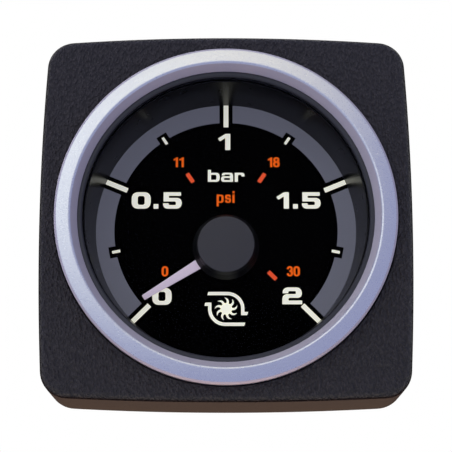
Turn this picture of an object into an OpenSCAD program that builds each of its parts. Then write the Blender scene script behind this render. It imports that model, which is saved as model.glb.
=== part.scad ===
/* [Surround] */
// Width and height of the surround across the middle of its sides
surround_w = 65.6; // [64.8:0.2:74]
// How far each side bows outward between its corners
side_bow = 1.05; // [0.4:0.05:2]
// Radius of the four corners seen from the front
corner_r = 4.8; // [3.6:0.1:7]
// Rounding of the front edge
edge_r = 1.2; // [0.6:0.1:1.3]
// Depth of the surround from its front face to its rear rim
surround_d = 17.3; // [14:0.1:30]
// Draft of the outer walls, in degrees
draft = 1; // [0.5:0.1:2]
// Radius of the slight dome of the front face
dome_r = 600; // [300:10:2000]
// Wall of the surround
surround_wall = 2.4; // [1.8:0.1:2.6]
// Thickness of the floor that the bezel ring sits on
floor_t = 2; // [1.5:0.1:3]
// Width of the collar round the bezel recess
collar_w = 1.8; // [1.2:0.1:2.4]
// Distance between the corner screw bosses, centre to centre
boss_pitch = 54; // [53:0.5:54]
// Radius of a corner screw boss
boss_r = 3.2; // [2.6:0.1:3.6]
// Radius of the pilot hole for a self-tapping screw
pilot_r = 1.3; // [0.9:0.05:1.6]
// Depth of the pilot hole
pilot_d = 12; // [6:0.5:13]

/* [Bezel ring] */
// Outer radius of the bezel ring
ring_r = 30; // [29.8:0.05:30.4]
// Width of the ring's face, from its outer edge to its bright crest
ring_face_w = 2.8; // [2.2:0.05:3]
// Width of the slope from the crest to the ring's eye
ring_slope_w = 1.15; // [1:0.05:1.4]
// How far the crest stands in front of the surround
crest_h = 2.05; // [1.6:0.05:3]
// How far the outer front corner stands in front of the surround
shoulder_h = 1.6; // [1.2:0.05:2]
// Chamfer of the outer front corner
ring_chamfer = 0.38; // [0.1:0.02:0.5]
// Height of the eye's edge in front of the gasket
eye_h = 0.29; // [0.1:0.01:0.4]
// Thickness of the ring's sheet metal
ring_sheet = 0.45; // [0.3:0.05:0.6]
// Width of the lip crimped behind the flange
lip_w = 1.5; // [0.8:0.1:2]

/* [Glass and seals] */
// Thickness of the glass
lens_t = 1.5; // [1:0.1:2.5]
// Width between the edge of the glass and the ring's outer edge
lens_edge_w = 1.7; // [1.2:0.1:3]
// Thickness of the rubber gasket in front of the glass
gasket_t = 0.5; // [0.3:0.05:1]
// Width of the gasket that shows inside the ring's eye
gasket_sight_w = 0.85; // [0.35:0.05:1.25]
// Thickness of the seal between glass and flange
seal_t = 0.3; // [0.2:0.05:1]
// Thickness of the gasket between ring and surround
panel_gasket_t = 0.55; // [0.3:0.05:1]

/* [Dial and shroud] */
// Depth of the dial face behind the surround's front face
dial_depth = 13.45; // [11:0.05:18]
// Thickness of the dial plate
dial_t = 0.6; // [0.4:0.05:1]
// Width of the shroud's foot on the dial
shroud_foot_w = 1.4; // [0.9:0.05:2.3]
// Thickness of the shroud at its front rim
rim_wall = 0.35; // [0.3:0.05:0.7]
// Hole in the dial for the pointer's shaft
dial_hole_r = 2.4; // [1.5:0.1:3]

/* [Pointer] */
// How far the pivot lies below the middle of the dial
pivot_drop = 3.6; // [0:0.1:5]
// Length of the pointer from the pivot to its tip
pointer_len = 17.6; // [14:0.1:18.5]
// Width of the pointer where it leaves the hub
pointer_root_w = 1.8; // [1:0.05:2.6]
// Width of the pointer at its tip
pointer_tip_w = 0.93; // [0.4:0.01:1.4]
// Thickness of the pointer
pointer_t = 0.4; // [0.2:0.05:0.8]
// Gap between the pointer and the dial
pointer_gap = 1.85; // [1:0.05:3]
// Direction of the pointer at rest, in degrees below the left-hand horizontal
pointer_rest = 31.9; // [0:0.1:60]
// Radius of the flat top of the hub cap
cap_top_r = 5.15; // [3:0.05:7]
// Radius of the hub cap at its foot
cap_foot_r = 6.05; // [5.3:0.05:8]
// Height of the hub cap
cap_h = 2.75; // [1.5:0.05:4]
// Radius of the pointer's shaft
shaft_r = 0.6; // [0.4:0.05:0.9]

/* [Case] */
// Outer radius of the can, which fits a 52 mm hole
can_r = 26; // [25.9:0.05:26.2]
// Wall of the can
can_wall = 0.6; // [0.4:0.05:0.7]
// Depth of the can's back face behind the surround's front face
case_d = 44; // [42:0.5:60]
// Thickness of the can's flange
flange_t = 0.7; // [0.4:0.05:1]
// Width between the edge of the can's flange and the ring's outer edge
flange_edge_w = 0.8; // [0.6:0.05:1.4]
// Outer corner radius at the can's back
can_corner = 1.2; // [0.8:0.1:2]
// Wall of the light sleeve
sleeve_wall = 1.2; // [0.8:0.1:1.6]

/* [Movement] */
// Thickness of the two movement plates
plate_t = 1.2; // [0.8:0.1:1.6]
// Distance between the two plates
plate_gap = 7.8; // [7.4:0.1:9]
// Radius of a pillar
pillar_r = 1.4; // [1:0.1:1.8]
// Half width of the plates' arms
arm_r = 2.2; // [1.9:0.1:2.6]
// Radius of a movement screw's head
screw_head_r = 1.6; // [1.2:0.1:2]
// Height of a movement screw's head
screw_head_h = 0.8; // [0.5:0.1:1.1]
// Radius of a movement screw's shank
screw_r = 0.7; // [0.5:0.05:0.8]
// Radial clearance of a pivot in its bush
pivot_clear = 0.04; // [0.02:0.01:0.08]
// Outer radius of a pivot bush
bush_r = 1.5; // [1.2:0.1:1.8]
// Turns of the hairspring
spring_turns = 5; // [3:0.5:7]
// Radius of the hairspring's outer end
spring_r = 6; // [5:0.1:6.4]
// Thickness of the hairspring's strip
spring_t = 0.14; // [0.08:0.01:0.2]
// Height of the hairspring's strip
spring_h = 0.6; // [0.4:0.05:0.9]

/* [Gears] */
// Module of the sector and pinion teeth
gear_module = 0.25; // [0.24:0.005:0.26]
// Teeth of the pinion
pinion_teeth = 12; // [12]
// Teeth that the sector would have as a full wheel
sector_teeth = 96; // [96]
// Direction from the pinion to the sector's arbor, in degrees above the horizontal
mesh_angle = -20; // [-24:1:-16]
// Angle that the sector turns through from rest to full scale
sector_sweep = 31.2; // [28:0.1:34]
// Thickness of the sector
sector_t = 1.2; // [0.8:0.1:1.4]
// Length of the sector's tail from arbor to pin
tail_len = 4.5; // [4.2:0.1:4.8]
// Share of the pitch that a tooth fills at the pitch line
tooth_share = 0.4; // [0.34:0.01:0.42]
// Radius of the sector's arbor
arbor_r = 0.9; // [0.7:0.05:1.1]

/* [Tube and link] */
// Radius of the tube's centre line
tube_r = 19.5; // [19.2:0.1:19.8]
// Width of the flattened tube along the gauge's axis
tube_w = 7; // [5:0.1:7.4]
// Thickness of the flattened tube across
tube_t = 2.2; // [1.8:0.1:2.6]
// Wall of the tube
tube_wall = 0.35; // [0.2:0.05:0.5]
// Where the tube leaves the socket, in degrees from the right-hand horizontal
tube_start = 264; // [255:1:268]
// Length of the link between its two pins
link_len = 8; // [7:0.1:8.6]
// Thickness of the link
link_t = 0.6; // [0.4:0.05:0.8]
// Radius of the link's two pins
link_pin_r = 0.5; // [0.4:0.02:0.6]
// Clearance of the link's upper eye, which takes the tube tip's own path
eye_clear = 0.15; // [0.14:0.01:0.25]

/* [Pressure socket] */
// Radius of the threaded stem
stem_r = 5; // [4.6:0.1:5.5]
// Length of the stem behind the can
stem_len = 18; // [16:0.5:30]
// Radius of the stem's bore
stem_bore_r = 1.5; // [1:0.1:2]
// Width of the thread relief
relief_w = 2; // [1:0.1:2.4]
// Depth of the thread relief
relief_d = 0.6; // [0.3:0.05:0.9]
// Radius of the socket's foot inside the can
foot_r = 8; // [7:0.1:9]
// Thickness of the socket's foot
foot_t = 3.6; // [2:0.1:5]
// Half width of the socket's body
body_half_w = 5; // [4.6:0.1:6]
// Length of the socket's body from the foot to the movement
body_d = 12.2; // [11.6:0.1:13]
// Thickness of the seal under the socket's foot
stem_seal_t = 0.4; // [0.3:0.05:0.8]
// Width of the stem nut across its flats
nut_af = 14; // [13:0.5:15]
// Height of the stem nut
nut_h = 4; // [3:0.1:4.6]
// Thickness of the lock washer
lock_t = 0.8; // [0.5:0.05:1.2]

/* [Clamp] */
// Gap between the can and a bracket leg
leg_gap = 0.4; // [0.3:0.05:0.8]
// Thickness of the bracket's strip
strip_t = 1.5; // [1:0.1:1.8]
// Width of the bracket's strip
strip_w = 18; // [16:0.5:18]
// Inner radius of the strip's bends
bend_r = 2.5; // [1.5:0.1:3]
// Gap between the can's back and the bracket
bracket_gap = 6; // [5.6:0.1:10]
// Radius of a stud
stud_r = 2; // [1.5:0.1:2.5]
// Distance between the two studs
stud_pitch = 34; // [31:0.5:35]
// Length of a stud behind the can
stud_len = 16; // [15:0.5:24]
// Radius of a knurled nut
knurl_r = 4.8; // [4.2:0.1:5.2]
// Height of a knurled nut
knurl_h = 5; // [3:0.1:6]
// Radius of a stud washer
washer_r = 4.4; // [4:0.1:5]
// Thickness of a stud washer
washer_t = 0.8; // [0.5:0.05:1.2]

/* [Lighting] */
// Distance of a lamp from the gauge's vertical middle
lamp_x = 9; // [7.5:0.1:9.5]
// Height of a lamp above the gauge's middle
lamp_z = 15.6; // [15.4:0.1:16]
// Radius of a lamp holder's nose
nose_r = 4.6; // [4:0.1:5]
// Radius of a lamp holder's flange
holder_flange_r = 5.9; // [5.2:0.1:6.1]
// Length of a lamp holder behind the can
holder_len = 7.5; // [6:0.1:12]
// Radius of a bulb
bulb_r = 2.5; // [2:0.1:3]
// Length of a bulb in front of its holder
bulb_len = 8; // [6:0.1:8.5]
// Width of a spade terminal
blade_w = 2.8; // [2.4:0.1:3.4]
// Thickness of a spade terminal
blade_t = 0.8; // [0.5:0.05:1]
// Length of a spade terminal
blade_len = 7; // [5:0.1:10]

/* [Hidden] */
$fn = 96;

// The gauge's axis is Y. Depths are counted rearward from the surround's front face, and the finished
// pieces are placed so that the origin lies on the axis in the plane of the surround's rear rim
over = 1;
fit = 0.1;
ring_fit = 0.25;
layer = 0.01;

// Places along the axis, from the glass to the surround's floor
lens_front = gasket_t;
lens_back = lens_front + lens_t;
flange_front = lens_back + seal_t;
flange_back = flange_front + flange_t;
lip_back = flange_back + ring_sheet;
recess_d = lip_back + panel_gasket_t;
floor_back = recess_d + floor_t;
recess_r = ring_r + ring_fit;
crest_r = ring_r - ring_face_w;
eye_r = crest_r - ring_slope_w;
sight_r = eye_r - gasket_sight_w;
lens_r = ring_r - lens_edge_w;
flange_r = ring_r - flange_edge_w;
hole_r = can_r + leg_gap;

// Outline of the surround: four bowed sides that meet in round corners
half_w = surround_w / 2;
side_r = (half_w * half_w + side_bow * side_bow) / (2 * side_bow);
side_c = half_w - side_r;
corner_c = (side_c + sqrt(2 * pow(side_r - corner_r, 2) - side_c * side_c)) / 2;
side_a = atan2(corner_c, corner_c - side_c);
side_steps = 6;
corner_steps = 6;
edge_steps = 5;

// Inside of the can
bore_r = can_r - can_wall;
can_floor = case_d - can_wall;
dial_r = bore_r - fit;
dial_back = dial_depth + dial_t;
rim_r = dial_r - rim_wall;
dial_sight_r = dial_r - shroud_foot_w;

// Places of the movement, counted forward from the can's floor
seal_front = can_floor - stem_seal_t;
foot_front = seal_front - foot_t;
seat_y = foot_front - body_d;
rear_front = seat_y - plate_t;
front_back = rear_front - plate_gap;
front_front = front_back - plate_t;
pivot_z = -pivot_drop;

// Gears: the pinion turns on the pointer's pivot, the sector on its own arbor
pinion_pitch_r = gear_module * pinion_teeth / 2;
sector_pitch_r = gear_module * sector_teeth / 2;
gear_distance = pinion_pitch_r + sector_pitch_r;
arbor_x = gear_distance * cos(mesh_angle);
arbor_z = pivot_z + gear_distance * sin(mesh_angle);
tooth_addendum_share = 0.85;
tooth_root_share = 1.15;
tip_width_share = 0.45;
root_width_share = 1.35;
sector_margin = 8;
rim_w = 1.4;
sector_stand = 2.2;
sector_y = front_back + sector_stand;
sector_back = sector_y + sector_t;
pinion_over = 1;
arm_half_w = 0.75;
hub_r = 2.1;
tail_r = 1.15;
tail_lead = 0.3;
tail_angle = -sector_sweep / 2 + tail_lead;
tail_x = arbor_x + tail_len * cos(tail_angle);
tail_z = arbor_z + tail_len * sin(tail_angle);

// Link and tube tip
link_stand = 1.7;
link_y = sector_y - link_stand;
link_back = link_y + link_t;
pin_over = 0.2;
tip_x = tail_x;
tip_z = tail_z + link_len;
link_eye_r = 1.2;
link_half_w = 0.7;
tube_stand = 0.2;
tube_back = seat_y - tube_stand;
tube_y = tube_back - tube_w / 2;
tube_front = tube_back - tube_w;
tube_end = 0;
tip_wall = 0.5;
tip_arc = 8;
ear_t = 1.4;
ear_gap = 0.3;
ear_half_w = 1;
post_arc = 20;
post_wall = 1.6;

// Places of the pillars and of the two screws into the socket, as shares of the tube's radius
pillar_shares = [[-0.5, 0.27], [-0.36, -0.66], [0.55, 0.26]];
screw_shares = [[-0.16, 0.2], [0.14, -0.56]];
pillar_spots = [for (p = pillar_shares) p * tube_r];
screw_spots = [for (p = screw_shares) p * tube_r];
rivet_share = 0.6;
screw_len = 3;

// Hairspring
spring_stand = 2;
spring_y = sector_back + spring_stand;
collet_r = 1.3;
collet_over = 0.4;
spring_gap = 0.02;
spring_steps = 24;
spring_end_a = 150;
stud_size = 0.8;

// Pointer and cap
pointer_back = dial_depth - pointer_gap;
pointer_y = pointer_back - pointer_t;
cap_front = pointer_y - cap_h;
cap_chamfer = 0.25;
cap_skin = 0.9;
pointer_hub_r = 3.6;
shaft_end_gap = 0.15;
bush_flange = 0.5;

// Socket and clamp
relief_stand = 0.5;
relief_y = case_d + bracket_gap + relief_stand;
stem_end = case_d + stem_len;
stem_chamfer = 0.6;
channel_r = 1.1;
bore_stop = 6;
stem_hole_r = stem_r + fit;
bracket_y = case_d + bracket_gap;
bracket_back = bracket_y + strip_t;
leg_x = can_r + leg_gap;
stem_clear = 1.6;
bracket_hole_r = stem_r + stem_clear;
stud_clear = 0.2;
stud_hole_r = stud_r + stud_clear;
stud_head_r = 3;
stud_head_t = 0.8;
knurl_teeth = 36;
knurl_d = 0.25;
nut_chamfer = 0.5;
restrictor_len = 4;
restrictor_hole_r = 0.3;

// Lamps and earth tab
nose_len = 2.6;
holder_flange_t = 1.2;
holder_r = 4;
wing_w = 1.8;
wing_r = 5.4;
bulb_seat = 2;
bulb_wall = 0.35;
blade_pitch = 4.2;
tab_w = 6.3;
tab_z = -16;
tab_foot = 5;
tab_hole_r = 1.6;
rivet_head_r = tab_foot / 2 - fit;
rivet_head_t = 0.9;

// Points of an arc, from angle a to angle b
function arc(x, y, r, a, b, n) =
    [for (i = [0:n]) [x + r * cos(a + (b - a) * i / n), y + r * sin(a + (b - a) * i / n)]];

function turn(p, a) = [p.x * cos(a) - p.y * sin(a), p.x * sin(a) + p.y * cos(a)];

// Outline of the surround, grown by g, from one side and one corner repeated four times
function outline(g) = [
    for (k = [0:3])
        for (p = concat(
            arc(side_c, 0, side_r + g, -side_a, side_a, side_steps),
            [for (i = [1:corner_steps - 1])
                let (a = side_a + (90 - 2 * side_a) * i / corner_steps)
                [corner_c + (corner_r + g) * cos(a), corner_c + (corner_r + g) * sin(a)]]))
            turn(p, 90 * k)
];

// Depth of the domed front face at a point, zero at the bezel ring
function dome(p) = (p * p - ring_r * ring_r) / (2 * dome_r);

function ring_at(y, g) = [for (p = outline(g)) [p.x, y + dome(p), p.y]];
function flat_ring(y, g) = [for (p = outline(g)) [p.x, y, p.y]];
function round_ring(r) = [for (p = outline(0)) [p.x, 0, p.y] * r / norm(p)];

// Moves a piece from depths behind the front face to the part's own frame
module placed() {
    translate([0, -surround_d, 0]) children();
}

// Solid through rings of points, from the front one to the rear one
module loft(rings) {
    n = len(rings[0]);
    m = len(rings);
    sides = [for (i = [0:m - 2], j = [0:n - 1])
        let (k = (j + 1) % n, a = i * n, b = a + n)
        each [[a + j, a + k, b + k], [a + j, b + k, b + j]]];
    front = [[for (j = [0:n - 1]) n - 1 - j]];
    back = [[for (j = [0:n - 1]) (m - 1) * n + j]];
    polyhedron([for (r = rings) each r], concat(sides, front, back));
}

// Plate from depth y, of thickness t, drawn as seen from the front
module slab(y, t) {
    translate([0, y + t, 0]) rotate([90, 0, 0]) linear_extrude(t) children();
}

// Round bar along the axis from depth a to depth b
module bar(x, z, r, a, b) {
    translate([x, a, z]) rotate([-90, 0, 0]) cylinder(h = b - a, r = r);
}

// Solid turned about the gauge's axis from a profile of [radius, depth]
module turned(profile) {
    rotate([-90, 0, 0]) rotate_extrude() polygon(profile);
}

// Part of a turned solid between two angles, seen from the front
module swept(a, b) {
    rotate([-90, 0, 0]) rotate([0, 0, -b]) rotate_extrude(angle = b - a) children();
}

// Flat ring between two depths
module washer(r, hole, a, b) {
    turned([[hole, a], [r, a], [r, b], [hole, b]]);
}

// Strip with round ends between two points, drawn flat
module strip(a, b, r) {
    d = b - a;
    translate(a) rotate(atan2(d.y, d.x)) translate([0, -r]) square([norm(d), 2 * r]);
    translate(a) circle(r);
    translate(b) circle(r);
}

// Flattened tube section of width w and thickness t, centred on the profile plane
module tube_section(t, w) {
    square([t, w - t], center = true);
    for (s = [-1, 1]) translate([0, s * (w - t) / 2]) circle(t / 2);
}

// Outline of teeth round a centre: each has a root, a pitch line and a tip
function teeth(pitch_r, n, first, count) =
    let (
        step = 360 / n,
        half = step * tooth_share / 2,
        root_r = pitch_r - tooth_root_share * gear_module,
        tip_r = pitch_r + tooth_addendum_share * gear_module,
        levels = [[root_r, -root_width_share], [pitch_r, -1], [tip_r, -tip_width_share],
            [tip_r, tip_width_share], [pitch_r, 1], [root_r, root_width_share]]
    )
    [for (k = [0:count - 1], v = levels)
        let (a = first + k * step + v[1] * half)
        [v[0] * cos(a), v[0] * sin(a)]];

module surround() {
    color("#2a292e") placed() difference() {
        loft(concat(
            [round_ring(ring_r)],
            [for (i = [0:edge_steps])
                let (a = 90 * i / edge_steps)
                ring_at(edge_r * (1 - cos(a)), -edge_r * (1 - sin(a)))],
            [flat_ring(surround_d, (surround_d - edge_r) * tan(draft))]));
        difference() {
            slab(surround_wall, surround_d) polygon(outline(-surround_wall));
            bar(0, 0, recess_r + collar_w, 0, floor_back);
            for (x = [-1, 1], z = [-1, 1])
                bar(x * boss_pitch / 2, z * boss_pitch / 2, boss_r, 0, surround_d);
        }
        bar(0, 0, recess_r, -over, recess_d);
        bar(0, 0, hole_r, 0, floor_back + over);
        for (x = [-1, 1], z = [-1, 1])
            bar(x * boss_pitch / 2, z * boss_pitch / 2, pilot_r, surround_d - pilot_d, surround_d + over);
    }
}

module bezel_ring() {
    slope = crest_r - eye_r;
    color("#c9ccd6") placed() turned([
        [ring_r, lip_back], [ring_r, -shoulder_h + ring_chamfer],
        [ring_r - ring_chamfer, -shoulder_h], [crest_r, -crest_h], [eye_r, -eye_h], [eye_r, 0],
        [eye_r + ring_sheet, 0],
        [crest_r + ring_sheet / 2, -crest_h + ring_sheet * crest_h / slope],
        [ring_r - ring_sheet - ring_chamfer, -shoulder_h + ring_sheet],
        [ring_r - ring_sheet, -shoulder_h + ring_sheet + ring_chamfer],
        [ring_r - ring_sheet, flange_back],
        [ring_r - ring_sheet - lip_w, flange_back], [ring_r - ring_sheet - lip_w, lip_back]
    ]);
}

module lens_gasket() {
    color("#161618") placed() turned([
        [sight_r, lens_front], [sight_r, gasket_t / 2], [sight_r + gasket_t / 2, 0],
        [ring_r - ring_sheet - fit, 0], [ring_r - ring_sheet - fit, lens_back],
        [lens_r + fit, lens_back], [lens_r + fit, lens_front]
    ]);
}

module lens() {
    color("#dfe6ea", 0.3) placed() bar(0, 0, lens_r, lens_front, lens_back);
}

module flange_seal() {
    color("#161618") placed() washer(lens_r, bore_r, lens_back, flange_front);
}

module panel_gasket() {
    color("#1b1b1d") placed() washer(ring_r - ring_sheet, hole_r, lip_back, recess_d);
}

module shroud() {
    r = rim_wall / 2;
    color("#141416") placed() turned(concat(
        [[dial_sight_r, dial_depth]],
        arc(dial_r - r, flange_front + r, r, 180, 360, 8),
        [[dial_r, dial_depth]]));
}

module dial_plate() {
    color("#0a0a0b") placed() difference() {
        bar(0, 0, dial_r, dial_depth, dial_back);
        bar(0, pivot_z, dial_hole_r, dial_depth - over, dial_back + over);
    }
}

module pointer() {
    color("#bdb0c1") placed() difference() {
        translate([0, 0, pivot_z]) slab(pointer_y, pointer_t) rotate(180 + pointer_rest) {
            circle(pointer_hub_r);
            polygon([[0, -pointer_root_w / 2], [cap_foot_r, -pointer_root_w / 2],
                [pointer_len, -pointer_tip_w / 2], [pointer_len, pointer_tip_w / 2],
                [cap_foot_r, pointer_root_w / 2], [0, pointer_root_w / 2]]);
        }
        bar(0, pivot_z, shaft_r, pointer_y - over, pointer_back + over);
    }
}

module hub_cap() {
    color("#2b2a2f") placed() translate([0, 0, pivot_z]) turned([
        [0, cap_front], [cap_top_r - cap_chamfer, cap_front], [cap_top_r, cap_front + cap_chamfer],
        [cap_top_r + cap_chamfer, cap_front + cap_h / 2], [cap_foot_r, pointer_y],
        [shaft_r, pointer_y], [shaft_r, cap_front + cap_skin], [0, cap_front + cap_skin]
    ]);
}

module pointer_shaft() {
    color("#b9bcc0") placed() bar(0, pivot_z, shaft_r, cap_front + cap_skin, seat_y - shaft_end_gap);
}

module pinion() {
    a = mesh_angle + 180 / pinion_teeth;
    color("#c8a85a") placed() translate([0, 0, pivot_z]) difference() {
        slab(sector_y - pinion_over, sector_t + 2 * pinion_over)
            polygon(teeth(pinion_pitch_r, pinion_teeth, a, pinion_teeth));
        bar(0, 0, shaft_r, sector_y - 2 * pinion_over, sector_back + 2 * pinion_over);
    }
}

module hairspring_collet() {
    color("#c8a85a") placed() translate([0, 0, pivot_z])
        washer(collet_r, shaft_r, spring_y - collet_over, spring_y + spring_h + collet_over);
}

// Radius of the hairspring at a share of its length
function coil_r(s) = collet_r + spring_gap + spring_t / 2
    + (spring_r - collet_r - spring_gap - spring_t / 2) * s;

function coil(side) =
    let (n = floor(spring_turns * spring_steps))
    [for (i = [0:n])
        let (r = coil_r(i / n) + side * spring_t / 2, a = spring_end_a - 360 * spring_turns * (1 - i / n))
        [r * cos(a), r * sin(a)]];

module hairspring() {
    inner = coil(-1);
    color("#8d93a0") placed() translate([0, 0, pivot_z]) slab(spring_y, spring_h)
        polygon(concat(coil(1), [for (i = [len(inner) - 1:-1:0]) inner[i]]));
}

module hairspring_stud() {
    r = spring_r + spring_t / 2 + spring_gap + stud_size;
    color("#b9bcc0") placed() bar(r * cos(spring_end_a), pivot_z + r * sin(spring_end_a), stud_size,
        spring_y - collet_over, rear_front);
}

module sector_gear() {
    step = 360 / sector_teeth;
    count = ceil((sector_sweep + 2 * sector_margin) / step);
    before = floor((sector_sweep + sector_margin) / step);
    first = 180 + mesh_angle - before * step;
    last = first + (count - 1) * step;
    inner_r = sector_pitch_r - tooth_root_share * gear_module - rim_w;
    rim_mid = [for (a = [first, last]) (inner_r + rim_w / 2) * [cos(a), sin(a)]];
    color("#c8a85a") placed() translate([arbor_x, 0, arbor_z]) difference() {
        slab(sector_y, sector_t) {
            polygon(concat(
                teeth(sector_pitch_r, sector_teeth, first, count),
                arc(0, 0, inner_r, last, first, 12)));
            for (p = rim_mid) strip([0, 0], p, arm_half_w);
            strip([0, 0], tail_len * [cos(tail_angle), sin(tail_angle)], tail_r);
            circle(hub_r);
        }
        bar(0, 0, arbor_r, sector_y - over, sector_back + over);
        bar(tail_x - arbor_x, tail_z - arbor_z, link_pin_r, sector_y - over, sector_back + over);
    }
}

module sector_arbor() {
    color("#b9bcc0") placed() translate([arbor_x, 0, arbor_z]) {
        bar(0, 0, arbor_r, front_back + bush_flange + fit, rear_front - bush_flange - fit);
        bar(0, 0, shaft_r, front_front, rear_front + plate_t / 2);
    }
}

module tail_pin() {
    color("#b9bcc0") placed() translate([tail_x, 0, tail_z]) {
        bar(0, 0, link_pin_r, link_y - pin_over, sector_back);
        bar(0, 0, tail_r - fit, link_back + fit, sector_y);
    }
}

module link() {
    color("#c8a85a") placed() difference() {
        slab(link_y, link_t) {
            strip([tail_x, tail_z], [tip_x, tip_z], link_half_w);
            translate([tail_x, tail_z]) circle(link_eye_r);
            translate([tip_x, tip_z]) circle(link_eye_r);
        }
        bar(tail_x, tail_z, link_pin_r + pivot_clear, link_y - over, link_back + over);
        bar(tip_x, tip_z, link_pin_r + eye_clear, link_y - over, link_back + over);
    }
}

module tip_pin() {
    color("#b9bcc0") placed() bar(tip_x, tip_z, link_pin_r, link_y - pin_over, link_back + ear_gap + ear_t);
}

module tube_tip() {
    a = link_back + ear_gap;
    color("#c8a85a") placed() difference() {
        union() {
            swept(tube_end - tip_arc, tube_end)
                translate([tube_r, tube_y])
                square([tube_t + 2 * tip_wall, tube_w + 2 * tip_wall], center = true);
            slab(a, ear_t) strip([tip_x, tip_z], [tube_r, tip_z], ear_half_w);
        }
        bar(tip_x, tip_z, link_pin_r, a - over, a + ear_t + over);
    }
}

module bourdon_tube() {
    color("#b98a4a") placed() swept(tube_end, tube_start) translate([tube_r, tube_y]) difference() {
        tube_section(tube_t, tube_w);
        tube_section(tube_t - 2 * tube_wall, tube_w - 2 * tube_wall);
    }
}

module pressure_socket() {
    post_r = tube_t / 2 + post_wall;
    color("#c2a15c") placed() difference() {
        union() {
            bar(0, 0, foot_r, foot_front, seal_front);
            slab(seat_y, body_d) translate([-body_half_w, -tube_r - post_r])
                square([2 * body_half_w, tube_r + post_r + foot_r]);
            swept(tube_start, tube_start + post_arc)
                translate([tube_r - post_r, tube_front - post_wall])
                square([2 * post_r, seat_y + post_wall - tube_front + over]);
            turned([[0, seal_front], [stem_r, seal_front], [stem_r, relief_y],
                [stem_r - relief_d, relief_y], [stem_r - relief_d, relief_y + relief_w],
                [stem_r, relief_y + relief_w], [stem_r, stem_end - stem_chamfer],
                [stem_r - stem_chamfer, stem_end], [0, stem_end]]);
        }
        bar(0, 0, stem_bore_r, seat_y + bore_stop, stem_end + over);
        translate([0, seat_y + bore_stop, 0]) rotate([180, 0, 0]) cylinder(h = tube_r, r = channel_r);
        bar(0, -tube_r, channel_r, tube_y, seat_y + bore_stop);
        translate([0, tube_y, -tube_r]) rotate([0, -90, 0]) cylinder(h = post_r, r = channel_r);
        for (p = screw_spots) bar(p.x, p.y, screw_r, seat_y - over, seat_y + screw_len);
    }
}

module restrictor() {
    end = stem_end - stem_chamfer - restrictor_len;
    color("#b9bcc0") placed() washer(stem_bore_r, restrictor_hole_r, end - restrictor_len, end);
}

// Skeleton plate: arms from the sector's arbor and from the pinion to each pillar
module plate_shape(spots) {
    for (p = spots) strip([0, pivot_z], p, arm_r);
    strip([0, pivot_z], [arbor_x, arbor_z], arm_r);
    strip(spots[0], spots[1], arm_r);
    translate([0, pivot_z]) circle(2 * arm_r);
}

module front_plate() {
    color("#c8a85a") placed() difference() {
        slab(front_front, plate_t) plate_shape(pillar_spots);
        bar(0, pivot_z, bush_r, front_front - over, front_back + over);
        bar(arbor_x, arbor_z, bush_r, front_front - over, front_back + over);
        for (p = pillar_spots) bar(p.x, p.y, screw_r, front_front - over, front_back + over);
    }
}

module rear_plate() {
    color("#c8a85a") placed() difference() {
        slab(rear_front, plate_t) {
            plate_shape(pillar_spots);
            for (p = screw_spots) strip([0, pivot_z], p, arm_r);
        }
        bar(0, pivot_z, bush_r, rear_front - over, seat_y + over);
        bar(arbor_x, arbor_z, bush_r, rear_front - over, seat_y + over);
        for (p = pillar_spots) bar(p.x, p.y, pillar_r * rivet_share, rear_front - over, seat_y + over);
        for (p = screw_spots) bar(p.x, p.y, screw_r, rear_front - over, seat_y + over);
    }
}

module pillars() {
    color("#b9bcc0") placed() for (p = pillar_spots) difference() {
        union() {
            bar(p.x, p.y, pillar_r, front_back, rear_front);
            bar(p.x, p.y, pillar_r * rivet_share, rear_front, seat_y);
        }
        bar(p.x, p.y, screw_r, front_back - over, front_back + screw_len);
    }
}

// Cheese-head screw with a slot, its head at depth y and its shank rearward
module screw(p, y, len) {
    difference() {
        bar(p.x, p.y, screw_head_r, y - screw_head_h, y);
        translate([p.x, y - screw_head_h, p.y])
            cube([2 * screw_head_r + fit, screw_head_h, screw_r / 2], center = true);
    }
    bar(p.x, p.y, screw_r, y - screw_head_h / 2, y + len);
}

module pillar_screws() {
    color("#b9bcc0") placed() for (p = pillar_spots) screw(p, front_front, plate_t + screw_len - fit);
}

module plate_screws() {
    color("#b9bcc0") placed() for (p = screw_spots) screw(p, rear_front, plate_t + screw_len - fit);
}

module pivot_bushes() {
    color("#c8a85a") placed() for (p = [[0, pivot_z], [arbor_x, arbor_z]]) translate([p.x, 0, p.y]) {
        washer(bush_r, shaft_r + pivot_clear, front_front - bush_flange, front_back + bush_flange);
        washer(bush_r, shaft_r + pivot_clear, rear_front - bush_flange, seat_y - shaft_end_gap / 2);
    }
}

module light_sleeve() {
    c = can_corner;
    color("#e9e9e4") placed() turned([
        [dial_r - sleeve_wall, dial_back], [dial_r, dial_back], [dial_r, can_floor - c],
        [dial_r - sleeve_wall / 2, can_floor - fit], [dial_r - sleeve_wall, can_floor - fit]
    ]);
}

module case_can() {
    inner_c = max(can_corner - can_wall, can_wall / 2);
    color("#3a3b3f") placed() difference() {
        turned(concat(
            [[bore_r, flange_front], [flange_r, flange_front], [flange_r, flange_back],
                [can_r, flange_back]],
            arc(can_r - can_corner, case_d - can_corner, can_corner, 0, 90, 6),
            [[0, case_d], [0, can_floor]],
            arc(bore_r - inner_c, can_floor - inner_c, inner_c, 90, 0, 6)));
        bar(0, 0, stem_hole_r, can_floor - over, case_d + over);
        for (s = [-1, 1]) {
            bar(s * lamp_x, lamp_z, nose_r + fit, can_floor - over, case_d + over);
            bar(s * stud_pitch / 2, 0, stud_r, can_floor - over, case_d + over);
        }
        bar(0, tab_z, tab_hole_r, can_floor - over, case_d + over);
    }
}

module stem_seal() {
    color("#8a4a35") placed() washer(foot_r, stem_r, seal_front, can_floor);
}

module stem_lockwasher() {
    color("#a9adb3") placed() washer(nut_af / 2, stem_r, case_d, case_d + lock_t);
}

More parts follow.
